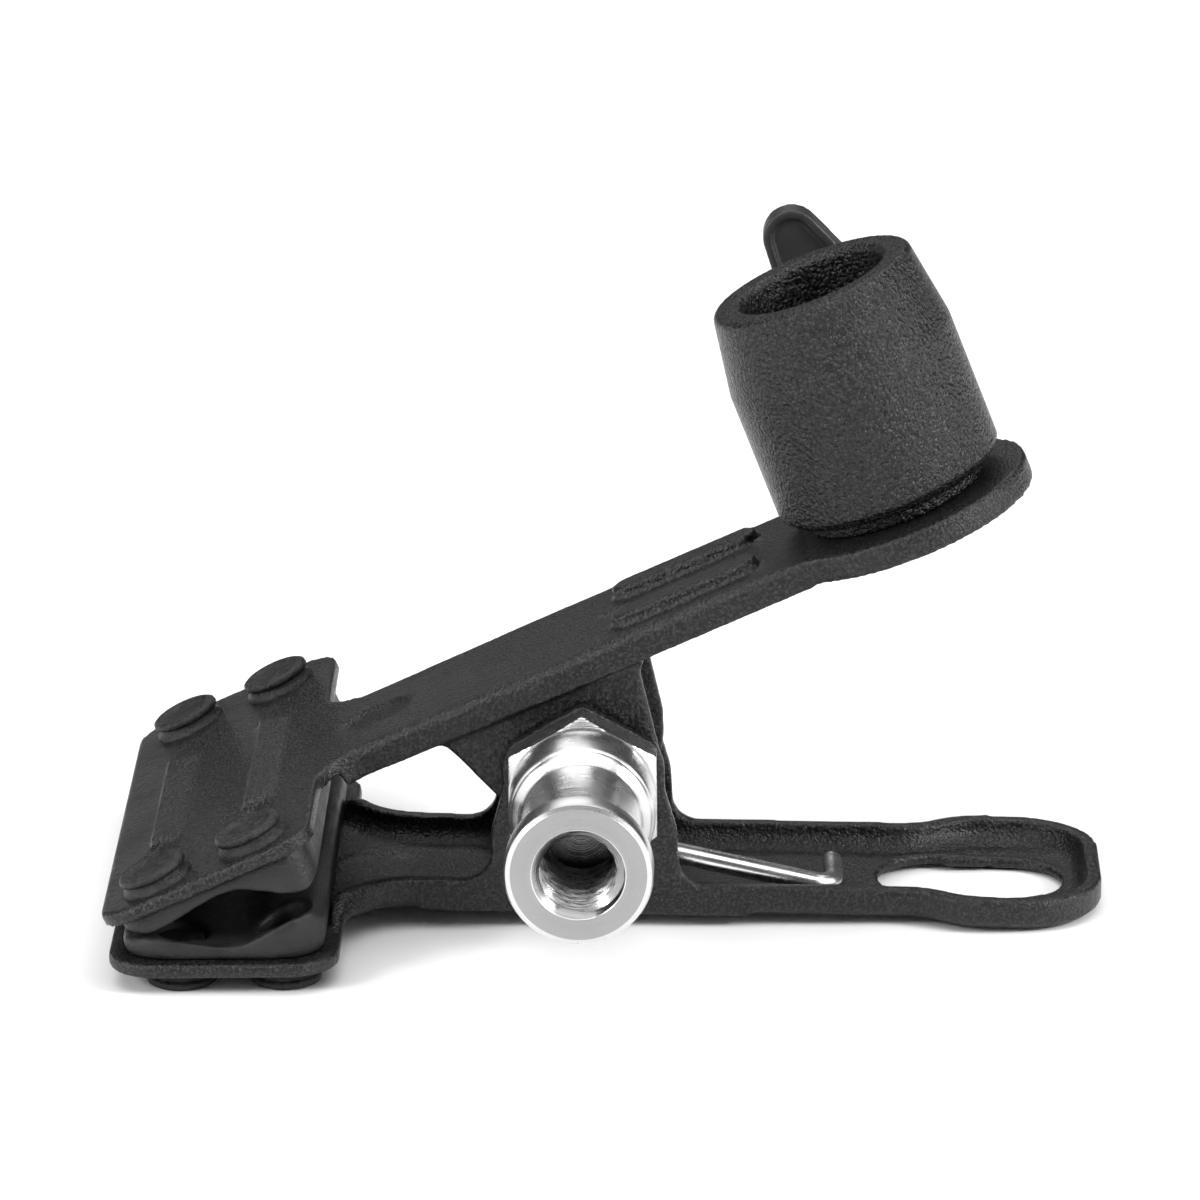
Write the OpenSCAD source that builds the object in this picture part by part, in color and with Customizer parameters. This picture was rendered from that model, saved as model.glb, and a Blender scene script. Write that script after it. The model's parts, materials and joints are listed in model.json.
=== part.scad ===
// Spring clamp with a 5/8 in socket on its upper arm and a 5/8 in stud on its pivot.
// Two die-cast arms cross at a pivot. A torsion spring pushes the handles apart, so the jaws close.
// Everything is drawn from the pivot axis, which runs along Y, and is then set down on the floor.
// The upper arm is drawn flat, with its top plane level, and is then tilted by arm_slope.

/* [Jaws] */
// Width of both jaws, across the clamp
jaw_w = 62.4; // [54:0.2:64]
// Length of both jaw plates, along the clamp
jaw_l = 24.8; // [23:0.2:26]
// Thickness of the jaw plates
jaw_t = 1.6; // [1.4:0.1:1.8]
// Corner radius of the upper jaw plate
jaw_r = 4; // [2:0.5:5]
// Corner radius of the lower jaw plate
low_jaw_r = 5.5; // [3:0.5:6]
// Distance between the two rivet rows, across the clamp
rivet_span = 51.6; // [44:0.2:52]

/* [Lower arm] */
// Width of the lower arm over its two side walls
arm_w = 22.4; // [22.2:0.1:23]
// Thickness of the channel's floor
floor_t = 1; // [0.9:0.1:1.2]
// Thickness of the channel's side walls and ears
wall_t = 1.8; // [1.6:0.1:1.8]
// Distance from the pivot to the far end of the hanging ring
ring_end = 56.6; // [56:0.1:58]
// Width of the hanging ring
ring_w = 28.2; // [26:0.2:32]

/* [Upper arm] */
// Angle between the two arms when the jaws are closed
arm_slope = 23.7; // [22:0.1:25]
// Height of the upper arm's top plane above the pivot
top_h = 13.55; // [13.2:0.05:14]
// Depth of the upper arm's side walls, from its top plane
skirt_h = 3.3; // [3:0.1:3.5]
// Radius of the round head that carries the socket
head_r = 14.7; // [13.5:0.1:16]
// Distance from the pivot to the middle of the head, along the arm
head_u = 43.2; // [42:0.1:45]

/* [Socket and stud] */
// Diameter of the socket's bore, for a 5/8 in stud
socket_bore = 16.2; // [16.1:0.05:16.4]
// Diameter of the socket at its foot
socket_d = 25.4; // [24.5:0.1:26]
// Height of the socket above its foot
socket_h = 24.8; // [24:0.1:30]
// Diameter of the 5/8 in stud
stud_d = 15.875; // [15.8:0.005:15.9]
// Distance from the clamp's middle plane to the stud's front face
stud_reach = 39; // [36:0.5:45]
// Bore of the stud's 3/8 in thread, at its crests
stud_thread_d = 7.94; // [7.8:0.02:8.2]

/* [Spring] */
// Diameter of the spring's wire
wire_d = 2.35; // [2:0.05:2.4]
// Radius of the coil, to the middle of the wire
coil_r = 6.85; // [6.6:0.05:6.9]
// Number of turns in the coil
coil_turns = 5; // [3:1:5]

/* [Hidden] */

$fn = 64;
eps = 0.01;

// Lower jaw plate, from its tip to its rear edge
low_x0 = -50.9;
low_x1 = low_x0 + jaw_l;
low_z = -14.4;
// Rivets: their places along each jaw from its tip, and their sizes
low_rivet_at = [7.8, 19];
up_rivet_at = [6.8, 18.1];
rivet_r = 1.8;
rivet_hole_r = 1.9;
head_d = 7.4;
rivet_head_h = 2;
rivet_ring_h = 0.5;
flare_r = 2.6;
flare_h = 0.7;
pit_r = 2.8;
// Skin of rubber left under each rivet's flare
pad_skin = 0.6;
// Height of the floor, under the lower rivet heads and the ring's far end
floor_z = low_z - rivet_head_h;

// Lower arm: a straight channel that falls from the neck's underside to the floor under the ring
neck_z = -13.9;
low_h = 3.6;
neck_fillet = 8;
ring_x0 = 34.5;
ring_r = 9.5;
hole_x = [38.9, 46.4];
hole_r = [6.8, 6];
// Rounded edges are cut in steps: each is [height where the step starts, inset of its outline]
low_edge = [[0, 1.25], [0.3, 0.7], [0.65, 0.28], [1.2, 0]];
cove = [[0, 1.4], [0.35, 0.7], [0.75, 0.25], [1.3, 0]];
top_edge = [[0, 0], [0.55, 0.22], [0.95, 0.6]];

// Ears: the lower arm's stand outside the upper arm's
ear_out = arm_w / 2;
ear_in = ear_out - wall_t;
up_ear_out = ear_in - 0.2;
up_ear_t = 1.6;
up_ear_in = up_ear_out - up_ear_t;
up_ear_r = 8.6;

// Pivot: a bolt through a sleeve, into the back of the stud
sleeve_r = 4.5;
sleeve_bore = 3.1;
up_ear_bore = sleeve_r + 0.05;
bolt_r = 3;
low_ear_bore = 3.15;
stud_back_bore = 3.05;
washer_t = 1;
bolt_head_r = 5;
bolt_head_h = 5;
bolt_end = 21;

// Stud: hexagon, shoulder, waist and end flange
hex_af = 16;
hex_t = 3.8;
shoulder_l = 6.1;
waist_r = 6.5;
flange_l = 2.8;
stud_bevel = 0.7;
thread_depth = 14;
back_depth = 11;

// Upper arm, in its own level frame
up_u0 = -50.4;
up_u1 = up_u0 + jaw_l;
web_t = 1.8;
up_wall = 2;
neck_w = 18.4;
up_arm_w = 20.8;
head_tilt = 3;
head_u0 = 31;
head_t = 3;
boss_r = 5.6;

// Socket, in the tilted frame of the head
foot_h = 1.65;
foot_r = 10;
kink_h = 17.5;
socket_top_r = 11.35;
socket_floor = 6.5;
socket_bevel = 0.5;
cross_z = foot_h + socket_h / 2;
fix_r = 3;
fix_bore = 3.05;
fix_hole = 3.3;
fix_end = 5.5;

// Clamping screw, along Y through the socket's far wall
insert_r = 4;
insert_y0 = 9;
insert_y1 = 14.2;
side_boss_r = 5.8;
side_boss_y = 14;
cross_bore = 3.05;
cross_r = 3;
tip_y0 = 8.7;
tip_y1 = 10.6;
tip_r = 2.7;
tip_bore = 3.2;
wing_y0 = 16;
wing_y1 = 24;
hub_r = 6;
paddle_at = 12.2;
paddle_r = 3.2;
paddle_y0 = 20.4;
paddle_t = 3.2;
wing_angle = 120.4;

// Spring legs: the wire leaves the coil along a tangent and ends in a cross hook
wire_sides = 10;
turn_steps = 20;
coil_half = 6;
low_leg_angle = -12.2;
low_leg_l = 29.5;
low_leg_y = -7.6;
low_hook_l = 8;
up_leg_angle = 22.6;
up_leg_l = 10.3;
up_hook_l = 8;
bend_r = 2.2;
// The coil is pressed towards the jaws on its sleeve
coil_shift = -0.35;

// The clamp stands on the floor, centred on its own box
tip_x = up_u0 * cos(arm_slope) - top_h * sin(arm_slope);
shift = [-(tip_x + ring_end) / 2, -(jaw_w / 2 - stud_reach) / 2, -floor_z];

// ---- Frames ----

module placed() translate(shift) children();

module on_upper_arm() placed() rotate([0, -arm_slope, 0]) children();

// The head drops away from the arm's top plane by head_tilt
module on_head() {
    on_upper_arm()
        translate([head_u0, 0, top_h])
            rotate([0, head_tilt, 0])
                translate([head_u - head_u0, 0, 0])
                    children();
}

// ---- Shared shapes ----

module rounded(r) offset(r) offset(delta = -r) children();

module filleted(r) offset(-r) offset(delta = r) children();

module across(y0, y1) translate([0, y1, 0]) rotate([90, 0, 0]) linear_extrude(y1 - y0) children();

module cross_cylinder(r, y0, y1) translate([0, y0, 0]) rotate([-90, 0, 0]) cylinder(h = y1 - y0, r = r);

module jaw_plan(x0, inset, r) {
    rounded(r - inset / 2)
        translate([x0 + inset, -jaw_w / 2 + inset])
            square([jaw_l - 2 * inset, jaw_w - 2 * inset]);
}

// The top of step k of a rounded edge, or of the whole wall h after the last step
function step_top(steps, k, h) = k + 1 < len(steps) ? steps[k + 1][0] : h;

module at_rivets(x0, along) {
    for (x = along, side = [-1, 1])
        translate([x0 + x, side * rivet_span / 2, 0])
            children();
}

// Grip profile of a pad: heights along the jaw, joined by cosine steps
pad_rule = [[0, 1.7], [0.13, 2.5], [0.54, 1.5], [0.93, 4.9], [1, 4]];
pad_inset = 1.5;
pad_l = jaw_l - 2 * pad_inset;
pad_steps = 6;

function ease(a, b, t) = a + (b - a) * (1 - cos(180 * t)) / 2;

function pad_points() = [
    for (i = [0 : len(pad_rule) - 2], k = [0 : pad_steps - 1])
        let (a = pad_rule[i], b = pad_rule[i + 1], t = k / pad_steps)
            [a[0] + (b[0] - a[0]) * t, ease(a[1], b[1], t)]
];

// A pad lies on the plane z = 0 with its tip at x0, its grip face up
module pad(x0, along, r) {
    profile = concat([[0, 0]], pad_points(), [[1, pad_rule[4][1]], [1, 0]]);
    difference() {
        intersection() {
            linear_extrude(6) jaw_plan(x0, pad_inset, r);
            across(-jaw_w, jaw_w)
                translate([x0 + pad_inset, 0])
                    polygon([for (p = profile) [p[0] * pad_l, p[1]]]);
        }
        at_rivets(x0, along) {
            translate([0, 0, -1]) cylinder(h = 8, r = rivet_hole_r);
            translate([0, 0, pad_skin]) cylinder(h = 8, r = pit_r);
        }
    }
}

// A rivet with its flare above z = 0 and its domed head on a wider ring below the jaw plate
module rivet() {
    top = pad_skin + flare_h;
    ring_z = -jaw_t - rivet_ring_h;
    head_z = -jaw_t - rivet_head_h;
    r = head_d / 2;
    rotate_extrude()
        polygon([[0, top], [flare_r, top], [flare_r, pad_skin], [rivet_r, pad_skin], [rivet_r, -jaw_t],
                 [r + 0.3, -jaw_t], [r + 0.3, ring_z], [r, ring_z], [r, head_z + 0.7],
                 [r - 0.25, head_z + 0.3], [r - 0.9, head_z], [0, head_z]]);
}

// ---- Lower arm ----

// Outline of the neck, arm and ring; with the jaw's rear edge, its neck flares into the jaw plate
module low_plan(with_jaw) {
    $fn = 36;
    filleted(6) {
        filleted(neck_fillet) {
            translate([low_x1 - 3, -arm_w / 2]) square([ring_x0 - low_x1 + 8, arm_w]);
            if (with_jaw)
                translate([low_x1 - 6, -jaw_w / 2]) square([6, jaw_w]);
        }
        rounded(ring_r) translate([ring_x0, -ring_w / 2]) square([ring_end - ring_x0, ring_w]);
    }
}

module ring_hole() {
    hull()
        for (i = [0, 1])
            translate([hole_x[i], 0])
                circle(hole_r[i]);
}

// A slice of the channel from z0 to z1 above its underside, seen from the side
module low_side(z0, z1) {
    fall = (neck_z - floor_z) / (ring_end - low_x1);
    x0 = low_x1 - 6;
    x1 = ring_end + 5;
    polygon([[x0, neck_z + 6 * fall + z0], [x1, floor_z - 5 * fall + z0],
             [x1, floor_z - 5 * fall + z1], [x0, neck_z + 6 * fall + z1]]);
}

// Side wall with its ear: a six-sided tab whose foot runs out into the wall
module ear_side(tuck) {
    reach = 18;
    filleted(3) {
        intersection() {
            low_side(0, low_h);
            translate([-reach, -20]) square([2 * reach, 20]);
        }
        rounded(1.2)
            polygon([[-10.4, neck_z + 1], [-10.1, -5], [-8.85, -0.6], [-8.85, 2.4], [-8.1, 4.7], [0, 9.4],
                     [8.1 - tuck, 4.7], [8.85 - tuck, 2.4], [8.85 - tuck, -0.6], [10.1 - tuck, -5],
                     [10.4 - tuck, neck_z + 1]]);
    }
}

// The walls run out along the jaw's rear edge, where their height falls to the plate
module flare_limit() {
    top_z = neck_z + low_h + 1;
    plate_z = low_z + jaw_t;
    translate([low_x1 - 1.3, 0, 0])
        rotate([90, 0, 90])
            linear_extrude(ring_end - low_x1 + 5)
                polygon([[-21, -20], [21, -20], [21, plate_z],
                         [12.5, top_z], [-12.5, top_z], [-21, plate_z]]);
}

module low_walls() {
    $fn = 36;
    for (k = [0 : len(low_edge) - 1])
        if (low_edge[k][0] < floor_t)
            intersection() {
                translate([0, 0, -20]) linear_extrude(20)
                    difference() {
                        offset(-low_edge[k][1]) low_plan(true);
                        offset(-wall_t - 1.4) low_plan(true);
                    }
                across(-jaw_w, jaw_w)
                    low_side(low_edge[k][0], min(floor_t, step_top(low_edge, k, floor_t)));
                flare_limit();
            }
    for (k = [0 : len(cove) - 1])
        intersection() {
            translate([0, 0, -20]) linear_extrude(20)
                difference() {
                    low_plan(true);
                    offset(-wall_t - cove[k][1]) low_plan(true);
                }
            across(-jaw_w, jaw_w)
                low_side(floor_t + cove[k][0] - eps, step_top(cove, k, low_h - floor_t) + floor_t);
            flare_limit();
        }
}

module low_floor() {
    $fn = 36;
    for (k = [0 : len(low_edge) - 1])
        if (low_edge[k][0] < floor_t)
            intersection() {
                translate([0, 0, -20]) linear_extrude(20) offset(-low_edge[k][1]) low_plan(false);
                across(-ring_w, ring_w)
                    low_side(low_edge[k][0], min(floor_t, step_top(low_edge, k, floor_t)));
            }
}

module lower_jaw() {
    far_tuck = 0.8;
    color([0.08, 0.08, 0.085]) placed() difference() {
        union() {
            translate([0, 0, low_z]) linear_extrude(jaw_t) jaw_plan(low_x0, 0, low_jaw_r);
            low_floor();
            low_walls();
            across(-ear_out, -ear_in) ear_side(0);
            across(ear_in, ear_out) ear_side(far_tuck);
            // Low bead round the hanging hole
            intersection() {
                translate([0, 0, -20]) linear_extrude(20) offset(0.8) ring_hole();
                across(-ring_w, ring_w) low_side(0.5, floor_t + 0.25);
            }
        }
        // Hanging hole, with a small key left on its far side
        difference() {
            translate([0, 0, -20]) linear_extrude(20) ring_hole();
            translate([hole_x[0] + 0.7, hole_r[0] - 0.8, -20]) cube([4.7, 2, 20]);
        }
        cross_cylinder(low_ear_bore, -ear_out - 1, ear_out + 1);
        translate([0, 0, low_z - 1]) at_rivets(low_x0, low_rivet_at) cylinder(h = 4, r = rivet_hole_r);
        // Blank oval panel sunk where the neck meets the jaw
        translate([low_x1 + 2.9, 0.6, neck_z + floor_t - 0.4])
            linear_extrude(2)
                hull() for (side = [-1, 1]) translate([side * 0.8, 0]) circle(4);
    }
}

module lower_pad() {
    color([0.05, 0.05, 0.05]) placed() translate([0, 0, low_z + jaw_t]) pad(low_x0, low_rivet_at, low_jaw_r);
}

module lower_rivet(i) {
    color([0.06, 0.06, 0.06])
        placed()
            translate([low_x0 + low_rivet_at[i % 2], (i < 2 ? -1 : 1) * rivet_span / 2, low_z + jaw_t])
                rivet();
}

// ---- Pivot ----

module pivot_sleeve() {
    color([0.75, 0.75, 0.78]) placed() difference() {
        cross_cylinder(sleeve_r, -ear_in, ear_in);
        cross_cylinder(sleeve_bore, -ear_in - 1, ear_in + 1);
    }
}

module pivot_bolt() {
    key_depth = 3;
    head_y = ear_out + washer_t;
    color([0.3, 0.3, 0.32]) placed() difference() {
        union() {
            cross_cylinder(bolt_r, -bolt_end, head_y + 1);
            cross_cylinder(bolt_head_r, head_y, head_y + bolt_head_h);
        }
        translate([0, head_y + bolt_head_h - key_depth, 0])
            rotate([-90, 0, 0])
                cylinder(h = key_depth + 1, r = 2.9, $fn = 6);
    }
}

module pivot_washer() {
    color([0.75, 0.75, 0.78]) placed() difference() {
        cross_cylinder(6.2, ear_out, ear_out + washer_t);
        cross_cylinder(low_ear_bore, ear_out - 1, ear_out + washer_t + 1);
    }
}

// The stud is turned about its own Z axis, front face up, from hexagon bar
module stud() {
    l = stud_reach - ear_out;
    r = stud_d / 2;
    hex_r = hex_af / sqrt(3);
    flange_z = l - flange_l;
    color([0.8, 0.8, 0.82])
        placed()
            translate([0, -ear_out, 0])
                rotate([90, 0, 0])
                    difference() {
                        union() {
                            intersection() {
                                rotate([0, 0, 90]) cylinder(h = hex_t, r = hex_r, $fn = 6);
                                rotate_extrude()
                                    polygon([[0, 0], [8.1, 0], [hex_r + 0.1, 0.75],
                                             [hex_r + 0.1, hex_t - 0.75],
                                             [8.1, hex_t], [0, hex_t]]);
                            }
                            rotate_extrude()
                                polygon([[0, 1], [r - 0.5, 1], [r, 1.5], [r, hex_t + shoulder_l - 0.4],
                                         [waist_r, hex_t + shoulder_l + 1.4], [waist_r, flange_z - 1.4],
                                         [r, flange_z], [r, l - stud_bevel], [r - stud_bevel, l], [0, l]]);
                        }
                        translate([0, 0, l - thread_depth])
                            cylinder(h = thread_depth + 1, r = stud_thread_d / 2);
                        translate([0, 0, l - 1]) cylinder(h = 1 + eps, r1 = stud_thread_d / 2, r2 = 5);
                        translate([0, 0, -1]) cylinder(h = back_depth + 1, r = stud_back_bore);
                    }
}

// ---- Torsion spring ----

// A wire section: its middle, and the direction that stays radial to the coil
function in_plane(a) = [cos(a), 0, sin(a)];

function coil_wire() = [
    for (k = [0 : coil_turns * turn_steps + span_steps()])
        let (a = low_leg_angle - 90 - k * 360 / turn_steps,
             y = -coil_half + 2 * coil_half * k / (coil_turns * turn_steps + span_steps()))
            [coil_r * in_plane(a) + [0, y, 0], in_plane(a)]
];

// Steps from the last whole turn to where the upper leg leaves the coil
function span_steps() = round((180 + low_leg_angle - up_leg_at()) / (360 / turn_steps));

function up_leg_at() = arm_slope + up_leg_angle;

// A leg runs from p along the coil's tangent, drifts by dy, and turns into a hook along Y
function leg(p, a, l, dy, hook, side) =
    let (n = side * in_plane(a + 90), d = in_plane(a), q = p + (l - bend_r) * d + [0, dy, 0],
         h = hook > 0 ? 1 : -1, bend = 5)
        concat(
            [[p + 0.25 * (q - p), n], [q, n]],
            [for (k = [1 : bend]) let (t = 90 * k / bend)
                [q + bend_r * sin(t) * d + [0, h * bend_r * (1 - cos(t)), 0], n]],
            [[q + bend_r * d + [0, hook, 0], n]]
        );

function reversed(list) = [for (i = [len(list) - 1 : -1 : 0]) list[i]];

function last(list) = list[len(list) - 1];

module wire(path) {
    count = len(path);
    rings = [
        for (i = [0 : count - 1])
            let (a = path[max(i - 1, 0)][0], b = path[min(i + 1, count - 1)][0], t = (b - a) / norm(b - a),
                 side = cross(t, path[i][1]), s = side / norm(side), n = cross(s, t))
                for (k = [0 : wire_sides - 1])
                    path[i][0] + wire_d / 2 * (cos(360 * k / wire_sides) * n + sin(360 * k / wire_sides) * s)
    ];
    walls = [
        for (i = [0 : count - 2], k = [0 : wire_sides - 1])
            let (a = i * wire_sides, b = a + wire_sides, j = (k + 1) % wire_sides)
                [a + k, a + j, b + j, b + k]
    ];
    ends = [
        [for (k = [wire_sides - 1 : -1 : 0]) k],
        [for (k = [0 : wire_sides - 1]) (count - 1) * wire_sides + k]
    ];
    polyhedron(rings, concat(walls, ends), convexity = 8);
}

module torsion_spring() {
    coil = coil_wire();
    low = leg(coil[0][0], low_leg_angle, low_leg_l, low_leg_y + coil_half, low_hook_l, -1);
    up = leg(last(coil)[0], up_leg_at(), up_leg_l, 0, -up_hook_l, 1);
    color([0.85, 0.85, 0.87]) placed() translate([coil_shift, 0, 0]) wire(concat(reversed(low), coil, up));
}

// ---- Upper arm ----

module up_plan() {
    filleted(5) {
        filleted(3) {
            jaw_plan(up_u0, 0, jaw_r);
            polygon([[up_u1 - 5, -neck_w / 2], [0, -up_arm_w / 2], [head_u, -up_arm_w / 2],
                     [head_u, up_arm_w / 2], [0, up_arm_w / 2], [up_u1 - 5, neck_w / 2]]);
        }
        translate([head_u, 0]) circle(head_r, $fn = 96);
    }
}

module up_part(u0, u1) {
    intersection() {
        up_plan();
        translate([u0, -jaw_w]) square([u1 - u0, 2 * jaw_w]);
    }
}

// Ear web: it fans down from the arm's walls to the pivot
module up_ear_side() {
    a = arm_slope;
    filleted(1.5)
        rotate(a) {
            circle(up_ear_r);
            rotate(-a)
                polygon([[-15.6, 4.6], [-13.4, 2.5], [-8.6, -2.7], [8.5, 2.4], [7.4, 7.4], [6.3, 12.2],
                         [6.9, 14.8], [-13, 6.4]]);
            translate([-16.5, top_h - skirt_h]) square([31, skirt_h - web_t / 2]);
        }
}

module up_part_inset(inset) {
    intersection() {
        offset(-inset) up_plan();
        translate([up_u1 + 2, -jaw_w]) square([head_u0 - 1 - up_u1, 2 * jaw_w]);
    }
}

module upper_jaw() {
    edge_h = 1.3;
    rib_h = 1.3;
    rib_r = 1.9;
    color([0.08, 0.08, 0.085]) {
        difference() {
            union() {
                on_upper_arm() {
                    translate([0, 0, top_h - jaw_t]) linear_extrude(jaw_t) up_part(up_u0 - 1, up_u1 + 4);
                    // Web with its top edges rounded in steps, on two side walls
                    for (k = [0 : len(top_edge) - 1])
                        translate([0, 0, top_h - edge_h + top_edge[k][0] - eps])
                            linear_extrude(step_top(top_edge, k, edge_h) - top_edge[k][0] + eps)
                                up_part_inset(top_edge[k][1]);
                    translate([0, 0, top_h - web_t])
                        linear_extrude(web_t - edge_h)
                            up_part(up_u1 + 2, head_u0 + 1);
                    translate([0, 0, top_h - skirt_h])
                        linear_extrude(skirt_h - edge_h)
                            difference() {
                                up_part(up_u1 + 2, head_u0 + 1);
                                offset(-up_wall) up_part(up_u1 - 2, head_u0 + 10);
                            }
                    // Two sloped bars across the jaw and two ribs along the arm
                    for (u = up_rivet_at)
                        translate([up_u0 + u, 0, top_h])
                            across(-13.5, 13.5)
                                polygon([[-1.6, -0.2], [-1.6, 0.95], [1.6, 0.15], [1.6, -0.2]]);
                    for (side = [-1, 1])
                        translate([0, side * 4.9, top_h - eps])
                            linear_extrude(rib_h)
                                hull()
                                    for (u = [11.6, 25.1])
                                        translate([u, 0])
                                            circle(rib_r);
                }
                on_head()
                    difference() {
                        translate([0, 0, -head_t])
                            linear_extrude(head_t)
                                translate([-head_u, 0]) up_part(head_u0, head_u + head_r + 1);
                        difference() {
                            translate([0, 0, -head_t - 1])
                                linear_extrude(head_t + 1 - web_t)
                                    translate([-head_u, 0])
                                        offset(-up_wall)
                                            up_part(head_u0 - 8, head_u + head_r + 1);
                            translate([0, 0, -head_t]) cylinder(h = head_t, r = boss_r);
                        }
                    }
                placed()
                    for (y = [-up_ear_out, up_ear_in])
                        across(y, y + up_ear_t) up_ear_side();
            }
            on_head() translate([0, 0, -8]) cylinder(h = 12, r = fix_hole);
            placed() cross_cylinder(up_ear_bore, -up_ear_out - 1, up_ear_out + 1);
            on_upper_arm() {
                translate([0, 0, top_h - jaw_t - 1]) at_rivets(up_u0, up_rivet_at)
                    cylinder(h = 4, r = rivet_hole_r);
                // Casting pit beside the ribs, the bars' end pits, and a blank oval panel at the neck
                translate([0, 0, top_h - 0.7])
                    linear_extrude(2)
                        hull() for (u = [8.4, 11.2]) translate([u, 0.5]) circle(0.65);
                for (u = up_rivet_at)
                    translate([up_u0 + u - 1, -15.6, top_h - 0.4]) cylinder(h = 2, r = 0.9);
                translate([0, 0, top_h - 0.3])
                    linear_extrude(2)
                        hull() for (u = [-20.4, -17.6]) translate([u, 0]) circle(2.8);
            }
        }
    }
}

module upper_pad() {
    color([0.05, 0.05, 0.05])
        on_upper_arm()
            translate([0, 0, top_h - jaw_t])
                mirror([0, 0, 1])
                    pad(up_u0, up_rivet_at, jaw_r);
}

module upper_rivet(i) {
    color([0.06, 0.06, 0.06])
        on_upper_arm()
            translate([up_u0 + up_rivet_at[i % 2], (i < 2 ? -1 : 1) * rivet_span / 2, top_h - jaw_t])
                mirror([0, 0, 1]) rivet();
}

// ---- Socket ----

module socket() {
    foot_edge = 1.2;
    rim = 0.4;
    top = foot_h + socket_h;
    color([0.09, 0.09, 0.095]) on_head() difference() {
        union() {
            rotate_extrude($fn = 128)
                polygon([[0, 0], [foot_r, 0], [foot_r, foot_h], [socket_d / 2 - foot_edge, foot_h],
                         [socket_d / 2, foot_h + foot_edge], [socket_d / 2, kink_h],
                         [socket_top_r, top - rim], [socket_top_r - rim, top], [0, top]]);
            translate([0, 0, cross_z]) cross_cylinder(side_boss_r, 9, side_boss_y);
        }
        translate([0, 0, socket_floor]) cylinder(h = top, r = socket_bore / 2);
        translate([0, 0, top - socket_bevel])
            cylinder(h = socket_bevel + eps, r1 = socket_bore / 2, r2 = socket_bore / 2 + socket_bevel);
        translate([0, 0, -1]) cylinder(h = fix_end + 1.5, r = fix_bore);
        translate([0, 0, cross_z]) {
            cross_cylinder(insert_r, insert_y0, side_boss_y + 1);
            cross_cylinder(tip_bore, 5, insert_y0 + 1);
        }
    }
}

module socket_screw() {
    color([0.3, 0.3, 0.32]) on_head() translate([0, 0, -head_t - washer_t]) difference() {
        union() {
            cylinder(h = head_t + washer_t + fix_end, r = fix_r);
            rotate_extrude() polygon([[0, -2.4], [3.6, -2.4], [5, -0.8], [5, 0], [0, 0]]);
        }
        translate([0, 0, -3]) cylinder(h = 2, r = 2.3, $fn = 6);
    }
}

module socket_washer() {
    color([0.75, 0.75, 0.78]) on_head() translate([0, 0, -head_t - washer_t]) difference() {
        cylinder(h = washer_t, r = boss_r);
        translate([0, 0, -1]) cylinder(h = washer_t + 2, r = fix_hole);
    }
}

module thread_insert() {
    color([0.75, 0.6, 0.3]) on_head() translate([0, 0, cross_z]) difference() {
        cross_cylinder(insert_r, insert_y0, insert_y1);
        cross_cylinder(cross_bore, insert_y0 - 1, insert_y1 + 1);
    }
}

// ---- Clamping screw ----

module screw_tip() {
    color([0.75, 0.6, 0.3]) on_head() translate([0, 0, cross_z]) cross_cylinder(tip_r, tip_y0, tip_y1);
}

module wing_screw() {
    color([0.75, 0.75, 0.78])
        on_head()
            translate([0, 0, cross_z])
                cross_cylinder(cross_r, tip_y1, wing_y0 + 5);
}

module paddle_plan(inset) {
    for (turn = [0, 180])
        rotate(turn)
            hull() {
                circle(hub_r - inset);
                translate([paddle_at, 0]) circle(paddle_r - inset);
            }
}

module wing_head() {
    recess = 0.6;
    color([0.1, 0.1, 0.1]) on_head() translate([0, 0, cross_z]) difference() {
        union() {
            cross_cylinder(hub_r, wing_y0, wing_y1);
            rotate([0, -(wing_angle - arm_slope + head_tilt), 0])
                across(paddle_y0, paddle_y0 + paddle_t)
                    paddle_plan(0);
        }
        // Both faces of the paddles are sunk inside a rim
        rotate([0, -(wing_angle - arm_slope + head_tilt), 0])
            for (y = [paddle_y0 - 1 + recess, paddle_y0 + paddle_t - recess])
                across(y - (y < paddle_y0 ? 1 : 0), y + 1)
                    difference() {
                        paddle_plan(1);
                        circle(hub_r + 0.4);
                    }
        cross_cylinder(cross_r, wing_y0 - 1, wing_y0 + 5);
    }
}

lower_jaw();
lower_pad();
lower_rivet(0);  // lower_rivet_1
lower_rivet(1);  // lower_rivet_2
lower_rivet(2);  // lower_rivet_3
lower_rivet(3);  // lower_rivet_4
pivot_sleeve();
pivot_bolt();
pivot_washer();
stud();
torsion_spring();
upper_jaw();
upper_pad();
upper_rivet(0);  // upper_rivet_1
upper_rivet(1);  // upper_rivet_2
upper_rivet(2);  // upper_rivet_3
upper_rivet(3);  // upper_rivet_4
socket();
socket_screw();
socket_washer();
thread_insert();
screw_tip();
wing_screw();
wing_head();
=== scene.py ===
import json
from math import cos, pi, radians, sin, sqrt, tan

import bmesh
import bpy
from mathutils import Matrix, Vector


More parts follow.
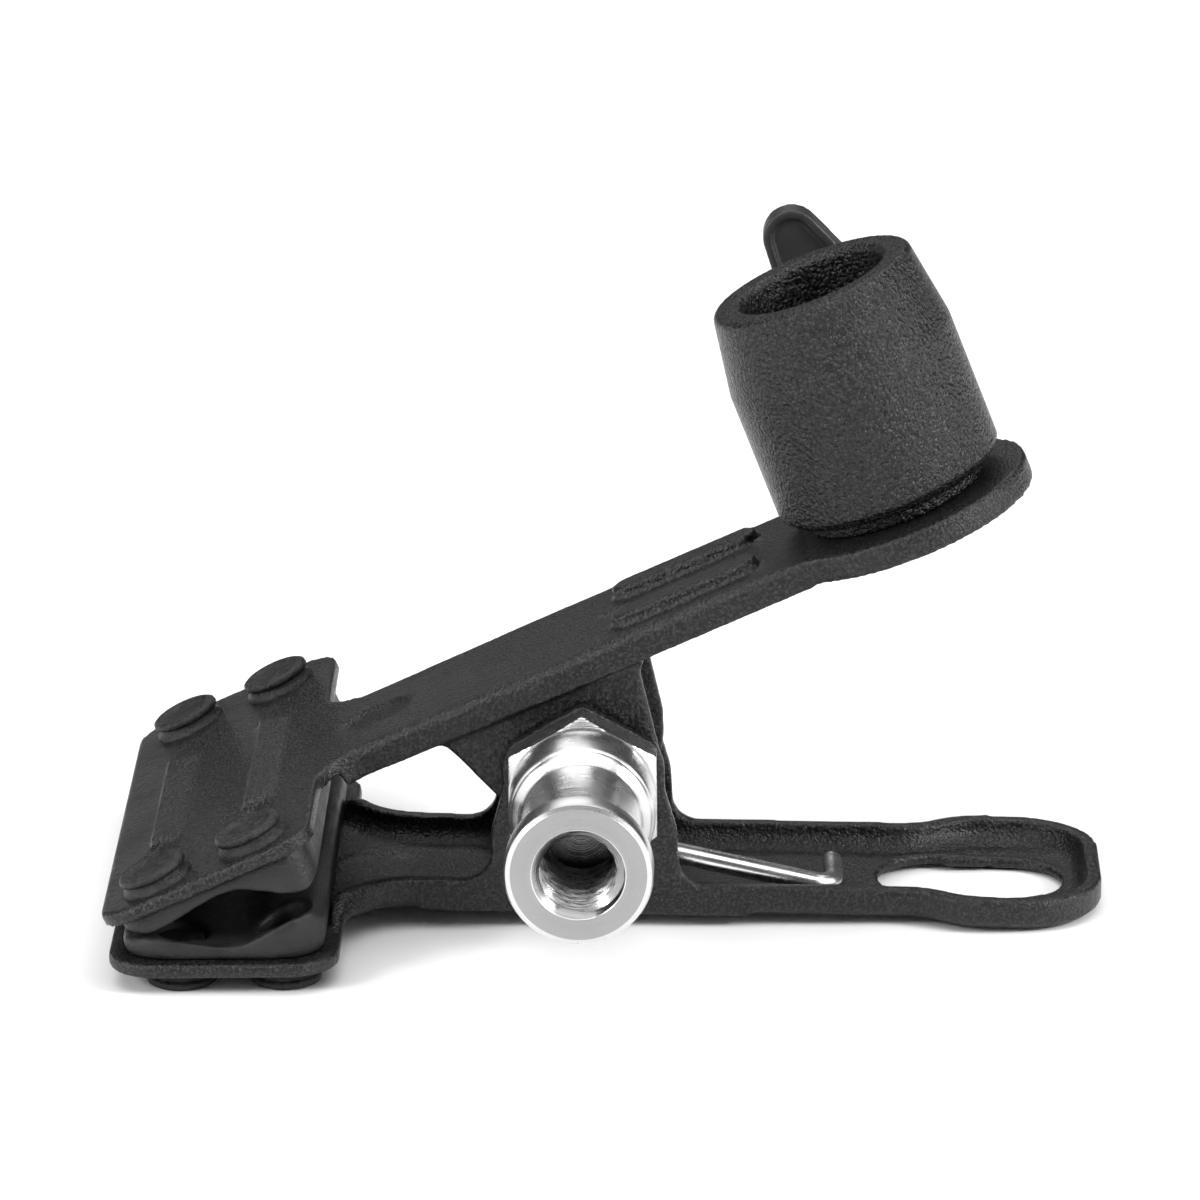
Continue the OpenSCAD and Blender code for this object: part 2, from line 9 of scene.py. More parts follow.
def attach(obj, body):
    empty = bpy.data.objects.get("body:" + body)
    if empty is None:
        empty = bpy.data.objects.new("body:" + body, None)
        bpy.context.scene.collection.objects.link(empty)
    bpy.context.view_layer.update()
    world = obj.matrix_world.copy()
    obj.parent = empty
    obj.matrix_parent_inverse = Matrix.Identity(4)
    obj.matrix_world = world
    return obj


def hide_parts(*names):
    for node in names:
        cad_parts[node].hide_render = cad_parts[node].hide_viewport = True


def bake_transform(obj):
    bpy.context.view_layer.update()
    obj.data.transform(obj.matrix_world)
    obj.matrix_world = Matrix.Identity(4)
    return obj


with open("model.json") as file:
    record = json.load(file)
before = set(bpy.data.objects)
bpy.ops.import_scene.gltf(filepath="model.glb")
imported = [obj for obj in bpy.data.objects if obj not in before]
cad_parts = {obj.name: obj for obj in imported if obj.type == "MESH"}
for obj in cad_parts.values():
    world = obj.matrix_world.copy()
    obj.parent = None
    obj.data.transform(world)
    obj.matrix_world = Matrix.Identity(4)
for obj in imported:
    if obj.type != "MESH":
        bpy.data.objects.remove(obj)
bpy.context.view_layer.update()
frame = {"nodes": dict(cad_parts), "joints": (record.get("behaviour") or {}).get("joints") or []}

MM = 0.001
nodes = frame["nodes"]
scene = bpy.context.scene

# ---- Camera ----
# A long lens stands in front of the stud and looks down on the clamp by 18 degrees. It is turned to
# the left and leant to one side by under a degree each.
pivot = Vector(next(j for j in frame["joints"] if j["name"] == "jaw_hinge")["pos_m"])
camera_data = bpy.data.cameras.new("camera")
camera_data.lens = 225
camera_data.sensor_width = 36
camera = bpy.data.objects.new("camera", camera_data)
scene.collection.objects.link(camera)
camera_pitch = 18
look_down = Matrix.Rotation(radians(90 - camera_pitch), 4, "X")
look_left = Matrix.Rotation(radians(0.95), 4, "Z")
lean = Matrix.Rotation(radians(0.8), 4, "Y")
stand_off = Matrix.Translation(Vector((1.62, 16.9, 825)) * MM)
camera.matrix_world = Matrix.Translation(pivot) @ lean @ look_left @ look_down @ stand_off
scene.camera = camera


# ---- Lower and upper castings ----
# Each arm is one die casting, powder coated in fine-grained black. Its edges are rounded by the
# mould and the coating, so the sharp-edged frame part is remeshed and its edges eased.
def new_material(name, base, roughness, metallic=0.0, specular=0.5):
    material = bpy.data.materials.new(name)
    material.use_nodes = True
    shader = material.node_tree.nodes["Principled BSDF"]
    shader.inputs["Base Color"].default_value = (*base, 1)
    shader.inputs["Roughness"].default_value = roughness
    shader.inputs["Metallic"].default_value = metallic
    shader.inputs["Specular IOR Level"].default_value = specular
    return material, material.node_tree, shader


def object_pattern(tree, kind, size, **values):
    """A texture node on Object coordinates; size is the pattern's grain, in millimetres."""
    place = tree.nodes.new("ShaderNodeTexCoord")
    pattern = tree.nodes.new(kind)
    pattern.inputs["Scale"].default_value = 1 / (size * MM)
    for name, value in values.items():
        pattern.inputs[name].default_value = value
    tree.links.new(place.outputs["Object"], pattern.inputs["Vector"])
    return pattern


def ramp(tree, source, low, high, low_value, high_value):
    """Maps a pattern from low..high to two values or two colours."""
    node = tree.nodes.new("ShaderNodeValToRGB")
    node.color_ramp.elements[0].position = low
    node.color_ramp.elements[1].position = high
    for element, value in zip(node.color_ramp.elements, (low_value, high_value)):
        element.color = (*value, 1) if isinstance(value, tuple) else (value, value, value, 1)
    tree.links.new(source, node.inputs["Fac"])
    return node.outputs["Color"]


def bump(tree, shader, heights):
    """Chains bumps on the shader's normal; heights lists (pattern output, depth in millimetres)."""
    normal = None
    for height, depth in heights:
        node = tree.nodes.new("ShaderNodeBump")
        node.inputs["Strength"].default_value = 1
        node.inputs["Distance"].default_value = depth * MM
        tree.links.new(height, node.inputs["Height"])
        if normal:
            tree.links.new(normal, node.inputs["Normal"])
        normal = node.outputs["Normal"]
    tree.links.new(normal, shader.inputs["Normal"])


def powder_coat():
    material, tree, shader = new_material("black_powder_coat", (0.01, 0.01, 0.01), 0.36, specular=0.4)
    grain = object_pattern(tree, "ShaderNodeTexNoise", 0.32, Detail=2.0)
    orange_peel = object_pattern(tree, "ShaderNodeTexNoise", 1.1, Detail=1.0)
    wear = object_pattern(tree, "ShaderNodeTexNoise", 9.0, Detail=5.0)
    # The grain's hollows are painted far darker than its crests, as painted shade in the hollows
    shaded_hollows = (0.003, 0.003, 0.0032)
    crests = (0.034, 0.034, 0.035)
    tree.links.new(ramp(tree, grain.outputs["Fac"], 0.45, 0.72, shaded_hollows, crests),
                   shader.inputs["Base Color"])
    tree.links.new(ramp(tree, wear.outputs["Fac"], 0.3, 0.75, 0.3, 0.44), shader.inputs["Roughness"])
    bump(tree, shader, [(orange_peel.outputs["Fac"], 0.1), (grain.outputs["Fac"], 0.2)])
    return material


def finished(source, name, material):
    """Turns an object and its modifiers into a plain mesh object with one material."""
    graph = bpy.context.evaluated_depsgraph_get()
    mesh = bpy.data.meshes.new_from_object(source.evaluated_get(graph))
    bpy.data.objects.remove(source)
    mesh.name = name
    mesh.materials.clear()
    mesh.materials.append(material)
    piece = bpy.data.objects.new(name, mesh)
    scene.collection.objects.link(piece)
    return piece


def eased(node, name, material, voxel, passes):
    """A copy of a frame part, remeshed at voxel millimetres and smoothed so that its edges round off."""
    mesh = nodes[node].data.copy()
    form = bmesh.new()
    form.from_mesh(mesh)
    bmesh.ops.remove_doubles(form, verts=form.verts, dist=0.001 * MM)
    form.to_mesh(mesh)
    form.free()
    copy = bpy.data.objects.new(name + "_raw", mesh)
    scene.collection.objects.link(copy)
    remesh = copy.modifiers.new("remesh", "REMESH")
    remesh.mode = "VOXEL"
    remesh.voxel_size = voxel * MM
    smooth = copy.modifiers.new("smooth", "SMOOTH")
    smooth.factor = 0.5
    smooth.iterations = passes
    piece = finished(copy, name, material)
    piece.data.shade_smooth()
    return piece


def stands_for(piece, body, slot, *replaced):
    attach(piece, body)
    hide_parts(*replaced)


coat = powder_coat()
for node, body in (("lower_jaw", "lower_arm"), ("upper_jaw", "upper_arm")):
    casting = eased(node, node + "_casting", coat, voxel=0.36, passes=6)
    stands_for(casting, body, "cast_black", node)


# ---- Jaw pads ----
# Two moulded rubber pads, each with a high rear ridge and a low front one, so that the trough
# between them grips a tube. The rivets hold them from inside deep pits.
def pad_rubber():
    material, tree, shader = new_material("pad_rubber", (0.012, 0.012, 0.012), 0.42, specular=0.42)
    skin = object_pattern(tree, "ShaderNodeTexNoise", 0.35, Detail=5.0)
    dust = object_pattern(tree, "ShaderNodeTexNoise", 3.0, Detail=7.0)
    clean = (0.009, 0.009, 0.0095)
    dusty = (0.022, 0.0215, 0.021)
    tree.links.new(ramp(tree, dust.outputs["Fac"], 0.4, 0.75, clean, dusty), shader.inputs["Base Color"])
    tree.links.new(ramp(tree, dust.outputs["Fac"], 0.3, 0.7, 0.4, 0.58), shader.inputs["Roughness"])
    bump(tree, shader, [(skin.outputs["Fac"], 0.1)])
    return material


rubber = pad_rubber()
for node, body in (("lower_pad", "lower_arm"), ("upper_pad", "upper_arm")):
    pad = eased(node, node + "_rubber", rubber, voxel=0.3, passes=26)
    stands_for(pad, body, "pad_rubber", node)


# ---- Pad rivets ----
# Eight black rivets, four through each jaw plate. Each is a turned shape: a flare that sits on a
# skin of rubber in the pad's pit, and a head on a wider ring, with a raised rim round a sunk middle.
def shape_tree(name, sizes):
    """An empty Geometry Nodes tree with a named number input for each size."""
    tree = bpy.data.node_groups.new(name, "GeometryNodeTree")
    tree.interface.new_socket("Geometry", in_out="INPUT", socket_type="NodeSocketGeometry")
    for label in sizes:
        tree.interface.new_socket(label, in_out="INPUT", socket_type="NodeSocketFloat")
    tree.interface.new_socket("Geometry", in_out="OUTPUT", socket_type="NodeSocketGeometry")
    return tree, tree.nodes.new("NodeGroupInput"), tree.nodes.new("NodeGroupOutput")


def add_node(tree, kind, inputs=(), **settings):
    """Adds a node; each of inputs is (socket's name or number, a value or another node's output)."""
    node = tree.nodes.new(kind)
    for setting, value in settings.items():
        setattr(node, setting, value)
    for socket, value in inputs:
        if isinstance(value, bpy.types.NodeSocket):
            tree.links.new(value, node.inputs[socket])
        else:
            node.inputs[socket].default_value = value
    return node


def calculate(tree, operation, *values):
    return add_node(tree, "ShaderNodeMath", enumerate(values), operation=operation).outputs[0]


def end_tree(tree, result, leave, material):
    """The last nodes of every tree: real geometry with its material."""
    real = add_node(tree, "GeometryNodeRealizeInstances", [("Geometry", result)])
    painted = add_node(tree, "GeometryNodeSetMaterial",
                       [("Geometry", real.outputs[0]), ("Material", material)])
    tree.links.new(painted.outputs[0], leave.inputs[0])


def shaped(name, tree, sizes, material, base=None):
    """Runs a tree with its sizes in metres on a base object, and returns the plain mesh object."""
    base = base or bpy.data.objects.new(name + "_raw", bpy.data.meshes.new(name + "_raw"))
    if base.name not in scene.collection.objects:
        scene.collection.objects.link(base)
    modifier = base.modifiers.new("shape", "NODES")
    modifier.node_group = tree
    for socket in tree.interface.items_tree:
        if socket.name in sizes:
            modifier[socket.identifier] = sizes[socket.name]
    return finished(base, name, material)


def outward(piece, crease=32):
    """Turns the faces outwards and keeps edges sharper than crease degrees crisp."""
    form = bmesh.new()
    form.from_mesh(piece.data)
    bmesh.ops.remove_doubles(form, verts=form.verts, dist=0.002 * MM)
    bmesh.ops.recalc_face_normals(form, faces=form.faces)
    form.to_mesh(piece.data)
    form.free()
    piece.data.shade_smooth()
    piece.data.set_sharp_from_angle(angle=radians(crease))


def profile_curve(tree, factor, values):
    """A profile read at equal steps; with 16 steps the curve's table holds each value exactly."""
    node = add_node(tree, "ShaderNodeFloatCurve", [("Value", factor)])
    curve = node.mapping.curves[0]
    curve.points[0].location = (0, values[0])
    curve.points[1].location = (1, values[-1])
    for step, value in enumerate(values[1:-1], 1):
        curve.points.new(step / (len(values) - 1), value)
    for point in curve.points:
        point.handle_type = "VECTOR"
    node.mapping.update()
    return node.outputs[0]


def rivet_material():
    material, tree, shader = new_material("rivet_black", (0.012, 0.012, 0.012), 0.5, specular=0.4)
    scuffs = object_pattern(tree, "ShaderNodeTexNoise", 1.1, Detail=6.0, Roughness=0.65)
    skin = object_pattern(tree, "ShaderNodeTexNoise", 0.3, Detail=3.0)
    clean = (0.007, 0.007, 0.007)
    rubbed = (0.032, 0.032, 0.032)
    tree.links.new(ramp(tree, scuffs.outputs["Fac"], 0.45, 0.75, clean, rubbed),
                   shader.inputs["Base Color"])
    tree.links.new(ramp(tree, scuffs.outputs["Fac"], 0.4, 0.7, 0.38, 0.6), shader.inputs["Roughness"])
    bump(tree, shader, [(scuffs.outputs["Fac"], 0.3), (skin.outputs["Fac"], 0.12)])
    return material


jaw_t = 1.6
rivet_head_h = 2.0
head_top = jaw_t + rivet_head_h
flare_top = 1.3
# Radius of 17 points, and their depth below the plate's face that the pad lies on, from the middle
# of the flare to the middle of the head
rivet_profile = [(0, -flare_top), (2.6, -flare_top), (2.6, -0.6), (1.8, -0.6), (1.8, jaw_t), (4.0, jaw_t),
                 (3.95, 1.95), (3.5, 2.25), (3.45, 2.6), (3.7, 2.75), (3.85, 3.0), (3.75, 3.4),
                 (3.4, head_top), (3.05, 3.56), (2.75, 3.36), (1.6, 3.3), (0, 3.3)]
rivet_r = max(r for r, depth in rivet_profile)
rivet_l = head_top + flare_top
rivet_tree, enter, leave = shape_tree("rivets", ["Pitch", "Span", "Radius", "Length", "Flare"])
band = add_node(rivet_tree, "GeometryNodeMeshGrid",
                [("Size X", 1), ("Size Y", 1), ("Vertices X", 49), ("Vertices Y", 17)])
spot = add_node(rivet_tree, "ShaderNodeSeparateXYZ",
                [("Vector", rivet_tree.nodes.new("GeometryNodeInputPosition").outputs[0])])
turn = calculate(rivet_tree, "MULTIPLY", spot.outputs["X"], 2 * pi)
along = calculate(rivet_tree, "ADD", spot.outputs["Y"], 0.5)
widths = profile_curve(rivet_tree, along, [r / rivet_r for r, depth in rivet_profile])
wide = calculate(rivet_tree, "MULTIPLY", widths, enter.outputs["Radius"])
depths = profile_curve(rivet_tree, along, [(depth + flare_top) / rivet_l for r, depth in rivet_profile])
deep = calculate(rivet_tree, "MULTIPLY", depths, enter.outputs["Length"])
ring = add_node(rivet_tree, "ShaderNodeCombineXYZ",
                [("X", calculate(rivet_tree, "MULTIPLY", wide, calculate(rivet_tree, "COSINE", turn))),
                 ("Y", calculate(rivet_tree, "MULTIPLY", wide, calculate(rivet_tree, "SINE", turn))),
                 ("Z", calculate(rivet_tree, "SUBTRACT", enter.outputs["Flare"], deep))])
lathe = add_node(rivet_tree, "GeometryNodeSetPosition",
                 [("Geometry", band.outputs["Mesh"]), ("Position", ring.outputs[0])])
closed = add_node(rivet_tree, "GeometryNodeMergeByDistance",
                  [("Geometry", lathe.outputs[0]), ("Distance", 0.005 * MM)])
corners = add_node(rivet_tree, "GeometryNodeMeshGrid",
                   [("Size X", enter.outputs["Pitch"]), ("Size Y", enter.outputs["Span"]),
                    ("Vertices X", 2), ("Vertices Y", 2)])
four = add_node(rivet_tree, "GeometryNodeInstanceOnPoints",
                [("Points", corners.outputs["Mesh"]), ("Instance", closed.outputs[0])])
scuffed = rivet_material()
end_tree(rivet_tree, four.outputs[0], leave, scuffed)

arm_slope = radians(23.7)
low_h = -14.4
top_h = 13.55
upper_frame = Matrix.Translation(pivot) @ Matrix.Rotation(-arm_slope, 4, "Y")
rivet_span = 51.6
jaw_rivets = (("lower", "lower_arm", (-50.9, 7.8, 19), low_h + jaw_t, Matrix.Translation(pivot)),
              ("upper", "upper_arm", (-50.4, 6.8, 18.1), top_h - jaw_t, upper_frame))
for jaw, body, (tip, first, second), face, jaw_frame in jaw_rivets:
    rivets = shaped(jaw + "_rivets", rivet_tree,
                    {"Pitch": (second - first) * MM, "Span": rivet_span * MM, "Radius": rivet_r * MM,
                     "Length": rivet_l * MM, "Flare": flare_top * MM}, scuffed)
    place = jaw_frame @ Matrix.Translation(Vector((tip + (first + second) / 2, 0, face)) * MM)
    if jaw == "upper":
        place = place @ Matrix.Rotation(pi, 4, "X")
    rivets.data.transform(place)
    outward(rivets, 50)
    stands_for(rivets, body, "rivet_black", *[f"{jaw}_rivet_{number}" for number in (1, 2, 3, 4)])


# ---- Stud ----
# The 5/8 in stud is turned from hexagon bar in bright aluminium: hexagon, shoulder, waist and end
# flange, with a 3/8 in thread of 16 turns to the inch in its end. The pivot bolt holds it.
def turned(name, rows, place, material, steps=64, crease=32):
    """A turned piece from its pole to pole outline; a row is (radius, height) in millimetres, and a
    radius may be a function of the angle. It stands on its own Z axis and is then moved by place."""
    form = bmesh.new()
    rings = []
    for radius, height in rows:
        if radius == 0:
            rings.append([form.verts.new((0, 0, height * MM))])
            continue
        ring = []
        for step in range(steps):
            angle = 2 * pi * step / steps
            r = radius(angle) if callable(radius) else radius
            ring.append(form.verts.new((r * cos(angle) * MM, r * sin(angle) * MM, height * MM)))
        rings.append(ring)
    for lower, upper in zip(rings, rings[1:]):
        for step in range(steps):
            after = (step + 1) % steps
            corners = [lower[step % len(lower)], lower[after % len(lower)],
                       upper[after % len(upper)], upper[step % len(upper)]]
            form.faces.new(list(dict.fromkeys(corners)))
    mesh = bpy.data.meshes.new(name)
    form.to_mesh(mesh)
    form.free()
    mesh.materials.append(material)
    mesh.transform(place)
    piece = bpy.data.objects.new(name, mesh)
    scene.collection.objects.link(piece)
    outward(piece, crease)
    return piece


def hexagon(across_flats, turn=0.0):
    """The radius of a hexagon at an angle, with a corner at the angle turn."""
    return lambda angle: across_flats / 2 / cos((angle - turn) % (pi / 3) - pi / 6)


def thread(crest, root, pitch, height):
    """The radius of a V thread at a height, at an angle."""
    def radius(angle):
        phase = (height / pitch - angle / (2 * pi)) % 1
        ridge = min(1, max(0, (abs(2 * phase - 1) - 0.1) / 0.8))
        return crest + (root - crest) * ridge
    return radius


def lathe_rings(tree, size):
    """Fine turning marks round the pivot axis, as a noise of the distance from it and along it."""
    place = tree.nodes.new("ShaderNodeTexCoord")
    centred = add_node(tree, "ShaderNodeVectorMath", [(0, place.outputs["Object"]), (1, pivot)],
                       operation="SUBTRACT")
    parts = add_node(tree, "ShaderNodeSeparateXYZ", [("Vector", centred.outputs[0])])
    square = [calculate(tree, "MULTIPLY", parts.outputs[axis], parts.outputs[axis]) for axis in ("X", "Z")]
    distance = calculate(tree, "SQRT", calculate(tree, "ADD", *square))
    spot = add_node(tree, "ShaderNodeCombineXYZ", [("X", distance), ("Y", parts.outputs["Y"])])
    marks = add_node(tree, "ShaderNodeTexNoise",
                     [("Vector", spot.outputs[0]), ("Scale", 1 / (size * MM)), ("Detail", 2.0)])
    return marks.outputs["Fac"]


def turned_aluminium(name, base):
    material, tree, shader = new_material(name, base, 0.28, metallic=1.0)
    marks = lathe_rings(tree, 0.12)
    bands = lathe_rings(tree, 1.2)
    smears = object_pattern(tree, "ShaderNodeTexNoise", 5.0, Detail=4.0)
    tree.links.new(ramp(tree, bands, 0.3, 0.7, tuple(0.88 * part for part in base), base),
                   shader.inputs["Base Color"])
    tree.links.new(ramp(tree, smears.outputs["Fac"], 0.3, 0.75, 0.22, 0.34), shader.inputs["Roughness"])
    bump(tree, shader, [(marks, 0.03), (bands, 0.01)])
    return material


ear_y = 11.2
stud_l = 39 - ear_y
stud_r = 15.875 / 2
hex_t = 3.8
shoulder_end = hex_t + 6.1
waist_r = 6.5
flange_z = stud_l - 2.8
back_bore = (3.05, 11)
thread_crest = 3.97
thread_root = 4.9
thread_pitch = 25.4 / 16
thread_depth = 14
thread_mouth = 0.75
chamfer = radians(30)
cone_r = 8.1
hex_flats = 16
hex_corner = hexagon(hex_flats, pi / 2)


def chamfered(depth):
    """The hexagon at a depth from its face, with its corners cut off by a 30 degree cone."""
    return lambda angle: min(hex_corner(angle), cone_r + depth / tan(chamfer))


corner_depths = [0, 0.12, 0.24, 0.36, 0.48, 0.6, 0.72]
outline = [(0, back_bore[1]), (back_bore[0], back_bore[1]), (back_bore[0], 0)]
outline += [(chamfered(depth), depth) for depth in corner_depths]
outline += [(chamfered(depth), hex_t - depth) for depth in reversed(corner_depths)]
outline += [(stud_r, hex_t), (stud_r, shoulder_end - 0.5), (stud_r - 0.15, shoulder_end - 0.15)]
# The shoulder falls to the waist, and the waist rises to the flange, in smooth coves
cove_l = 1.5
cove_steps = 6
for step in range(cove_steps + 1):
    t = step / cove_steps
    fall = (stud_r - 0.3 - waist_r) * (1 - cos(pi * t)) / 2
    outline.append((stud_r - 0.3 - fall, shoulder_end + cove_l * t))
for step in range(cove_steps + 1):
    t = step / cove_steps
    rise = (stud_r - 0.1 - waist_r) * (1 - cos(pi * t)) / 2
    outline.append((waist_r + rise, flange_z - cove_l + cove_l * t))
outline += [(stud_r, flange_z + 0.15), (stud_r, stud_l - 0.75), (stud_r - 0.2, stud_l - 0.28),
            (stud_r - 0.7, stud_l), (5.05, stud_l), (4.95, stud_l - 0.06)]
thread_rows = 130
thread_top = stud_l - thread_mouth
mouth_slope = 0.75
for row in range(thread_rows):
    height = thread_top - (thread_depth - thread_mouth) * row / (thread_rows - 1)
    opening = max(0, thread_root - (thread_top + thread_mouth - height) * mouth_slope)
    ridge = thread(thread_crest, thread_root, thread_pitch, height)
    outline.append((lambda angle, ridge=ridge, opening=opening: max(ridge(angle), opening), height))
outline += [(3.2, stud_l - thread_depth), (0, stud_l - thread_depth)]
bright = turned_aluminium("turned_aluminium", (0.7, 0.7, 0.705))
stud_place = Matrix.Translation(pivot + Vector((0, -ear_y * MM, 0))) @ Matrix.Rotation(pi / 2, 4, "X")
stud = turned("stud_spigot", outline, stud_place, bright, steps=144, crease=24)
# The faced end and the threaded bore get a darker copy of the aluminium, as painted shade in the bore and
# on the end face
stud.data.materials.append(turned_aluminium("shaded_aluminium", (0.36, 0.36, 0.363)))
for face in stud.data.polygons:
    spot = face.center - pivot
    in_bore = sqrt(spot.x ** 2 + spot.z ** 2) < 4.95 * MM and spot.y < -(ear_y + back_bore[1] + 1) * MM
    if in_bore or spot.y < -(ear_y + stud_l - 0.02) * MM:
        face.material_index = 1
stands_for(stud, "lower_arm", "stud_aluminium", "stud")


# ---- Torsion spring ----
# Zinc-plated spring wire in five close turns round the pivot sleeve. One leg lies in the lower arm and
# ends in a hook across it, the other presses up under the upper arm. The real wire bends as the clamp
# opens; this one keeps one fixed shape.
def in_plane(angle):
    return Vector((cos(angle), 0, sin(angle)))


wire_r = 2.35 / 2
coil_r = 6.85
coil_half = 6
coil_turns = 5
low_leg_angle = radians(-12.2)
up_leg_angle = arm_slope + radians(22.6)
bend_r = 2.2
low_leg_l = 29.5
low_hook_y = -7.6
up_leg_l = 10.3
hook_l = 8


def spring_leg(start, angle, length, drift, hook):
    """Points of a leg that leaves the coil at start, drifts along Y, and turns into a hook along Y."""
    way = in_plane(angle)
    elbow = start + (length - bend_r) * way + Vector((0, drift, 0))
    side = 1 if hook > 0 else -1
    points = [start.lerp(elbow, t) for t in (0.08, 0.25, 0.5, 0.75, 1)]
    for step in range(1, 9):
        t = pi / 2 * step / 8
        points.append(elbow + bend_r * sin(t) * way + Vector((0, side * bend_r * (1 - cos(t)), 0)))
    points.append(elbow + bend_r * way + Vector((0, hook, 0)))
    return points


coil_start = low_leg_angle - pi / 2
coil_sweep = 2 * pi * coil_turns + pi + low_leg_angle - up_leg_angle
coil_steps = 48 * coil_turns
coil_shift = -0.35
coil = []
for step in range(coil_steps + 1):
    shift = Vector((coil_shift, -coil_half + 2 * coil_half * step / coil_steps, 0))
    coil.append(coil_r * in_plane(coil_start - coil_sweep * step / coil_steps) + shift)
low_leg = spring_leg(coil[0], low_leg_angle, low_leg_l, low_hook_y + coil_half, hook_l)
up_leg = spring_leg(coil[-1], up_leg_angle, up_leg_l, 0, -hook_l)
wire_path = list(reversed(low_leg)) + coil + up_leg

wire_curve = bpy.data.curves.new("spring_path", "CURVE")
wire_curve.dimensions = "3D"
wire_line = wire_curve.splines.new("POLY")
wire_line.points.add(len(wire_path) - 1)
for point, spot in zip(wire_line.points, wire_path):
    point.co = (*(pivot + spot * MM), 1)
wire_object = bpy.data.objects.new("spring_path", wire_curve)


def plated_wire():
    material, tree, shader = new_material("plated_wire", (0.86, 0.86, 0.87), 0.25, metallic=1.0)
    drawn = object_pattern(tree, "ShaderNodeTexNoise", 0.5, Detail=4.0)
    patches = object_pattern(tree, "ShaderNodeTexNoise", 3.5, Detail=5.0)
    dull = (0.8, 0.8, 0.81)
    clear = (0.93, 0.93, 0.93)
    tree.links.new(ramp(tree, patches.outputs["Fac"], 0.35, 0.7, dull, clear), shader.inputs["Base Color"])
    tree.links.new(ramp(tree, patches.outputs["Fac"], 0.3, 0.7, 0.32, 0.2), shader.inputs["Roughness"])
    bump(tree, shader, [(drawn.outputs["Fac"], 0.02)])
    return material


wire_tree, enter, leave = shape_tree("spring_wire", ["Wire radius"])
section = add_node(wire_tree, "GeometryNodeCurvePrimitiveCircle",
                   [("Resolution", 20), ("Radius", enter.outputs["Wire radius"])])
swept = add_node(wire_tree, "GeometryNodeCurveToMesh",
                 [("Curve", enter.outputs["Geometry"]), ("Profile Curve", section.outputs["Curve"]),
                  ("Fill Caps", True)])
plated = plated_wire()
end_tree(wire_tree, swept.outputs[0], leave, plated)
spring = shaped("spring_wire", wire_tree, {"Wire radius": wire_r * MM}, plated, wire_object)
outward(spring, 50)
# The wire turns from the lower arm's end to the upper arm's along a slanted line through the coil
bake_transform(spring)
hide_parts("torsion_spring")


# ---- Pivot bolt, washer and sleeve ----
# A black cap screw runs from the far ear through a plated sleeve into the back of the stud, and so
# clamps the ears to the sleeve, on which the upper arm turns. Its knurled head has a hexagon socket.
def plain_metal(name, base, rough, metallic=1.0):
    material, tree, shader = new_material(name, base, rough, metallic=metallic)
    patches = object_pattern(tree, "ShaderNodeTexNoise", 2.0, Detail=5.0)
    skin = object_pattern(tree, "ShaderNodeTexNoise", 0.2, Detail=2.0)
    dull = tuple(0.75 * part for part in base)
    tree.links.new(ramp(tree, patches.outputs["Fac"], 0.35, 0.7, dull, base), shader.inputs["Base Color"])
    tree.links.new(ramp(tree, patches.outputs["Fac"], 0.3, 0.7, rough + 0.1, rough),
                   shader.inputs["Roughness"])
    bump(tree, shader, [(skin.outputs["Fac"], 0.008)])
    return material


def along_y(origin, toward=1):
    """Stands a turned piece on a point, with its Z axis along Y or, for -1, against it."""
    return Matrix.Translation(origin) @ Matrix.Rotation(-toward * pi / 2, 4, "X")


zinc = plain_metal("zinc_plate", (0.72, 0.73, 0.75), 0.3)
black_oxide = plain_metal("black_oxide", (0.035, 0.035, 0.038), 0.38, metallic=0.85)
bolt_r = 3
bolt_end = -21
washer_t = 1
cap_r = 4.8
cap_h = 5
key_depth = 3
head_y = ear_y + washer_t
bolt_rows = [(0, bolt_end), (bolt_r - 0.4, bolt_end), (bolt_r, bolt_end + 0.5), (bolt_r, head_y),
             (cap_r - 0.2, head_y), (cap_r, head_y + 0.2), (cap_r, head_y + cap_h - 0.5),
             (cap_r - 0.15, head_y + cap_h - 0.15), (cap_r - 0.5, head_y + cap_h),
             (3.1, head_y + cap_h), (hexagon(5), head_y + cap_h - 0.3),
             (hexagon(5), head_y + cap_h - key_depth), (0, head_y + cap_h - key_depth - 0.6)]
plain_bolt = turned("plain_bolt", bolt_rows, along_y(pivot), black_oxide, steps=72)
knurl_tree, enter, leave = shape_tree("knurl", ["Head radius", "Ridge radius", "Ridge length", "Middle"])
ridge_count = 40
around = add_node(knurl_tree, "GeometryNodeMeshCircle",
                  [("Vertices", ridge_count), ("Radius", enter.outputs["Head radius"])])
ridge = add_node(knurl_tree, "GeometryNodeMeshCylinder",
                 [("Vertices", 6), ("Radius", enter.outputs["Ridge radius"]),
                  ("Depth", enter.outputs["Ridge length"])])
ridges = add_node(knurl_tree, "GeometryNodeInstanceOnPoints",
                  [("Points", around.outputs["Mesh"]), ("Instance", ridge.outputs["Mesh"])])
middle = add_node(knurl_tree, "ShaderNodeCombineXYZ",
                  [("X", pivot.x), ("Z", pivot.z), ("Y", enter.outputs["Middle"])])
stood = add_node(knurl_tree, "GeometryNodeTransform",
                 [("Geometry", ridges.outputs[0]), ("Rotation", (pi / 2, 0, 0)),
                  ("Translation", middle.outputs[0])])
both = add_node(knurl_tree, "GeometryNodeJoinGeometry", [("Geometry", enter.outputs["Geometry"])])
knurl_tree.links.new(stood.outputs[0], both.inputs[0])
end_tree(knurl_tree, both.outputs[0], leave, black_oxide)
bolt = shaped("pivot_cap_screw", knurl_tree,
              {"Head radius": (cap_r - 0.08) * MM, "Ridge radius": 0.28 * MM, "Ridge length": 3.6 * MM,
               "Middle": pivot.y + (head_y + cap_h / 2 - 0.1) * MM}, black_oxide, plain_bolt)
outward(bolt)
stands_for(bolt, "lower_arm", "bolt_black", "pivot_bolt")


ear_in = 9.4


